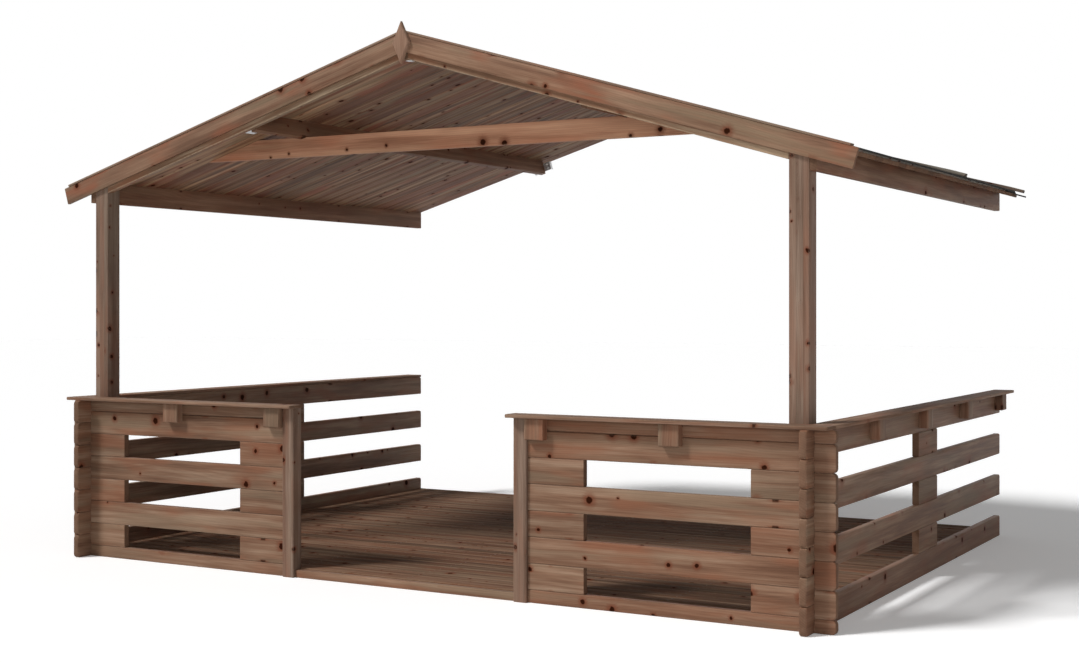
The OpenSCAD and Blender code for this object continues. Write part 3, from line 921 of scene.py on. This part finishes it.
# ---- Laths and eave strips ----
# Softwood laths screwed down over the felt half-way along and at the back, bent
# up over the eave. Under the felt a strip stands along the edge of the boards.
lath_finish = stained_wood("lath_stain", pale=(140, 134, 124), brown=(106, 98, 88), dark=(78, 70, 63),
                           red=(112, 90, 76), olive=(112, 108, 98), knots=0.30)
lath_t, lath_w, lath_end = 0.018, 0.045, 2.2846
lath_y = (front_y + 1.8375, back_y - lath_w)
bend_s, bend_n = 1.6026, 6
strip_gap = 0.0001
for side, where in both_sides:
    eave_strip = timber((side * rise_s[1], side * board_l), eave_y,
                        (board_t + strip_gap, board_t + strip_t - strip_gap))
    soften(eave_strip, lath_arris)
    sloped(eave_strip, side)
    lay_grain(eave_strip, y_way, down_slope(side))
    laths = [eave_strip]
    for y in lath_y:
        lath = timber((-side * past_ridge, side * lath_end), (y, y + lath_w), (felt_top, felt_top + lath_t))
        bends = [bend_s + (rise_s[1] - bend_s) * i / bend_n for i in range(bend_n + 1)]
        for s in bends:
            saw(lath, (side * s, 0, 0), x_way, through=False)
        for i, s in enumerate(bends[1:], 1):
            raise_points(lath, lambda at: abs(abs(at.x) - s) < near or i == bend_n and abs(at.x) > s,
                         strip_t * (3 * (i / bend_n) ** 2 - (i / bend_n) ** 3) / 2)
        soften(lath, lath_arris)
        on_slope(lath, side)
        lay_grain(lath, down_slope(side), y_way)
        laths.append(lath)
    laths = gather("felt_laths_" + where, laths, lath_finish)
    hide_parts("roof_laths_" + where)
    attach(laths, "root")


# ---- Bargeboards, cover strips and diamond ----
# Planed boards up the gable, screwed to the battens behind them, with a flat strip
# on top that covers the edge of the felt, and a wooden diamond over their joint.
barge_finish = stained_wood("bargeboard_stain", pale=(138, 109, 88), brown=(120, 90, 71), dark=(95, 68, 52),
                            red=(132, 82, 60), olive=(119, 98, 78), knots=0.44, knot_size=1.3,
                            contrast=1.2, patchy=1.7)
strip_finish = stained_wood("cover_strip_stain", pale=(136, 114, 98), brown=(119, 96, 80),
                            dark=(96, 75, 62), red=(126, 88, 68), olive=(122, 105, 88), knots=0.20)
barge_l, barge_z = 2.3286, (-0.057, 0.033)
cover_l, cover_t = 2.2936, 0.010
for side, where in both_sides:
    low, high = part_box("bargeboard_" + where)
    board = timber((-side * past_ridge, side * barge_l), (low.y, high.y), barge_z)
    soften(board, beam_arris, 2)
    on_slope(board, side)
    lay_grain(board, down_slope(side), roof_normal(side))
    board = gather("gable_board_" + where, [board], barge_finish)
    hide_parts("bargeboard_" + where)
    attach(board, "root")

    low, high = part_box("cover_strip_" + where)
    strip = timber((-side * past_ridge, side * cover_l), (low.y, high.y), (barge_z[1], barge_z[1] + cover_t))
    soften(strip, lath_arris, 2)
    on_slope(strip, side)
    lay_grain(strip, down_slope(side), y_way)
    strip = gather("gable_strip_" + where, [strip], strip_finish)
    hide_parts("cover_strip_" + where)
    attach(strip, "root")

diamond_finish = stained_wood("diamond_stain", pale=(166, 138, 118), brown=(144, 114, 95),
                              dark=(122, 94, 77), red=(152, 108, 84), olive=(142, 122, 102), knots=0.10)
low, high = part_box("gable_diamond")
centre = (0.0, (low.y + high.y) / 2, (low.z + high.z) / 2)
face_bevel, diamond_arris = 0.006, 0.0007
bpy.ops.mesh.primitive_cylinder_add(vertices=4, radius=1.0, depth=high.y - low.y, location=centre,
                                    rotation=(radians(90.0), 0.0, 0.0))
diamond = bpy.context.object
bpy.ops.object.transform_apply()
bpy.ops.object.mode_set(mode="EDIT")
bpy.ops.mesh.select_all(action="SELECT")
bpy.ops.transform.resize(value=((high.x - low.x) / 2, 1.0, (high.z - low.z) / 2), center_override=centre)
bpy.ops.object.mode_set(mode="OBJECT")
plane_edges(diamond, face_bevel, 1, lambda middle, way: middle.y < low.y + near)
soften(diamond, diamond_arris, 1, 25.0)
lay_grain(diamond, z_way, x_way)
diamond = gather("gable_lozenge", [diamond], diamond_finish)
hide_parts("gable_diamond")
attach(diamond, "root")


# ---- Steel plates ----
# Galvanised plates with folded edges behind the back ends of the purlins, by
# which the roof is held to a wall, and small angles where they meet the gable.
zinc = surface("zinc_coat", wide=14.0, fine=160.0, rough=0.42, dark=(186, 188, 190), light=(232, 233, 234),
               metal=0.65, bumps=0.08, depth=0.0003)
plate_t, plate_h, fold_d, steel_arris = 0.003, 0.054, 0.027, 0.0006
ridge_plate, plate_out, plate_drop = 0.065, 0.048, 0.024
hole_r, hole_in_x, hole_in_z = 0.003, 0.022, 0.014
head_proud, plate_head, wood_head = 0.0004, 0.010, 0.0075
back_face = front_y + 3.063
batten_back = front_y + 0.068
angle_w, angle_d, angle_z = 0.040, 0.066, (-0.085, -0.045)
clip_d = 0.030


def screw(place, turn, wide):
    """One flat screw head with a recess for the driver, standing just proud."""
    bpy.ops.mesh.primitive_cylinder_add(vertices=10, radius=wide / 2, depth=0.0016)
    head = bpy.context.object
    choose(head, "FACE", lambda face: face.normal.z > 0.9)
    bpy.ops.mesh.inset(thickness=wide * 0.08)
    bpy.ops.transform.translate(value=(0.0, 0.0, 0.0003))
    bpy.ops.mesh.inset(thickness=wide * 0.20)
    bpy.ops.mesh.inset(thickness=wide * 0.03)
    bpy.ops.transform.translate(value=(0.0, 0.0, -0.0010))
    bpy.ops.object.mode_set(mode="OBJECT")
    head.rotation_euler = turn
    head.location = place
    bpy.ops.object.transform_apply()
    return head


def back_plate(x0, x1, top):
    """A plate with both edges folded back, six holes, and screws in the two middle ones."""
    plate = timber((x0, x1), (back_face, back_face + fold_d), (top - plate_h, top))
    cut_out(plate, timber((x0 + plate_t, x1 - plate_t), (back_face + plate_t, back_face + fold_d + overrun),
                          (top - plate_h - overrun, top + overrun)))
    middle = (x0 + x1) / 2
    rows = (top - hole_in_z, top - plate_h + hole_in_z)
    for z in rows:
        for x in (x0 + hole_in_x, middle, x1 - hole_in_x):
            bpy.ops.mesh.primitive_cylinder_add(vertices=16, radius=hole_r, depth=0.02,
                                                location=(x, back_face + plate_t / 2, z),
                                                rotation=(radians(90.0), 0, 0))
            cut_out(plate, bpy.context.object)
    soften(plate, steel_arris)
    return [plate] + [screw((middle, back_face + plate_t + head_proud, z), (radians(-90.0), 0, 0), plate_head)
                      for z in rows]


steel = back_plate(-ridge_plate, ridge_plate, ridge_z - batten_x[0] * tan(pitch) - plate_drop)
for side in (-1, 1):
    edges = sorted((side * (middle_s[0] - plate_out), side * (middle_s[1] + plate_out)))
    parts = back_plate(*edges, -plate_drop)
    angle = timber((side * middle_s[1], side * (middle_s[1] + angle_w)),
                   (batten_back, batten_back + angle_d), angle_z)
    cut_out(angle, timber((side * (middle_s[1] + plate_t), side * 1.2),
                          (batten_back - overrun, batten_back + 0.08), (angle_z[0] + plate_t, -0.03)))
    soften(angle, steel_arris)
    parts.append(angle)
    for part in parts:
        sloped(part, side)
    steel += parts
low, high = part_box("ridge_purlin")
clip = timber((low.x, high.x), (batten_back, batten_back + clip_d), (low.z - plate_t, low.z))
soften(clip, steel_arris)
steel.append(clip)
steel = gather("steel_plates", steel, zinc)
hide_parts("purlin_plates")
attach(steel, "root")


# ---- Joists ----
# Seven sawn bearers laid from front to back on the ground under the floor. Their
# tops carry the boards, and only their ends can be seen below the front log.
joist_finish = stained_wood("joist_wood", pale=(132, 114, 88), brown=(108, 90, 66), dark=(82, 66, 48),
                            red=(112, 80, 56), olive=(104, 98, 70), knots=0.30, rough=0.8, streaks=40.0)
low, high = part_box("joists")
joist_w, joist_n = 0.070, 7
joist_step = (high.x - low.x - joist_w) / (joist_n - 1)
first = timber((low.x, low.x + joist_w), (low.y, high.y), (low.z, high.z))
soften(first, post_arris)
lay_grain(first, y_way, x_way)
bearers = row_of(first, (joist_step, 0, 0), joist_n, y_way, x_way)
bearers = gather("floor_bearers", bearers, joist_finish)
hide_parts("joists")
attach(bearers, "root")


# ---- Screws ----
# Countersunk screws with a brown coat: two through each floor board into every
# joist, and one every half metre or so through the handrails and the laths.
screw_coat = surface("screw_coat", wide=60.0, fine=900.0, rough=0.45, dark=(74, 56, 42), light=(112, 88, 66),
                     metal=0.5, bumps=0.1, depth=0.0002)


def repeat(piece, step, count):
    """Repeats a piece at equal steps."""
    pick_up(piece)
    array = piece.modifiers.new("array", "ARRAY")
    array.use_relative_offset = False
    array.use_constant_offset = True
    array.constant_offset_displace = step
    array.count = count
    bpy.ops.object.modifier_apply(modifier="array")


def wood_screw(x, y, top):
    """A screw driven straight down, with its head a little above the wood."""
    return screw((x, y, top - head_proud), (0, 0, 0), wood_head)


low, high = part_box("floor_boards")
pair_gap, outer_x = 0.044, 1.966
edge_x, edge_start, edge_step = 2.0035, 0.22, 0.545
screws = []
for x, step, count in ((-2 * joist_step, joist_step, 5), (-outer_x, 2 * outer_x, 2)):
    head = wood_screw(x, low.y + deck_w / 2 - pair_gap / 2, high.z)
    repeat(head, (0.0, pair_gap, 0.0), 2)
    repeat(head, (0.0, pitch_y, 0.0), deck_n)
    repeat(head, (step, 0.0, 0.0), count)
    screws.append(head)
for side in (-1, 1):
    head = wood_screw(side * edge_x, low.y + edge_start, high.z)
    repeat(head, (0.0, edge_step, 0.0), 6)
    screws.append(head)
deck_screws = gather("deck_screws", screws, screw_coat)
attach(deck_screws, "root")

side_in, front_in = 0.16, 0.18
screws = []
for side, where in both_sides:
    low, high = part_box("side_handrail_" + where)
    head = wood_screw(side * (in_x + out_x) / 2, low.y + side_in, high.z)
    repeat(head, (0.0, (high.y - low.y - 2 * side_in) / 5, 0.0), 6)
    screws.append(head)
    low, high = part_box("front_handrail_" + where)
    head = wood_screw(low.x + front_in, front_y + log_t / 2, high.z)
    repeat(head, ((high.x - low.x - 2 * front_in) / 3, 0.0, 0.0), 4)
    screws.append(head)
rail_screws = gather("handrail_screws", screws, screw_coat)
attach(rail_screws, "root")

lath_start, lath_step, eave_in = 0.12, 0.46, 0.022
screws = []
for side in (-1, 1):
    for y in (lath_y[0] + lath_w / 2, lath_y[1] + lath_w / 2):
        head = wood_screw(side * lath_start, y, felt_top + lath_t)
        repeat(head, (side * lath_step, 0.0, 0.0), 4)
        sloped(head, side)
        screws.append(head)
        head = wood_screw(side * (rise_s[1] + eave_in), y, felt_top + strip_t + lath_t)
        sloped(head, side)
        screws.append(head)
lath_screws = gather("lath_screws", screws, screw_coat)
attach(lath_screws, "root")
